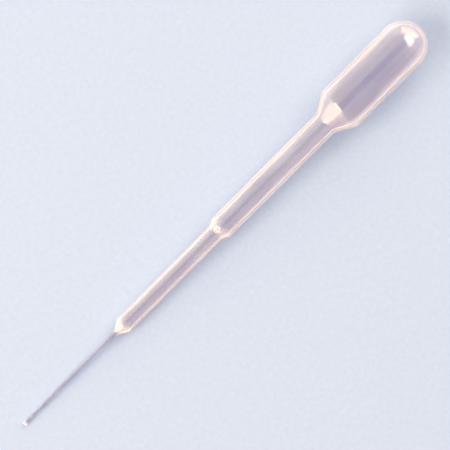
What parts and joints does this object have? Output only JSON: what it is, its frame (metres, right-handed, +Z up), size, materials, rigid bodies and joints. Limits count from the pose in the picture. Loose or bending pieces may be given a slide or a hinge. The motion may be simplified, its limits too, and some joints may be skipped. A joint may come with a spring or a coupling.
{
  "type": "plastic dropper pipette",
  "caption": "One-piece blow-moulded dropper pipette of milky plastic, with a closed squeeze bulb, a stepped hollow stem and a fine open tip.",
  "frame": {"origin": "on the surface that the pipette lies on, under the middle of its bounding box", "axes": "+X from the tip to the bulb, level; +Z up. The pipette's own axis rises 2.91 degrees towards the bulb, as it comes to rest."},
  "size_m": [0.1468, 0.0132, 0.0142],
  "materials": {
    "milky_plastic": "satin"
  },
  "bodies": {
    "root": {"pipette": "milky_plastic"}
  },
  "joints": []
}
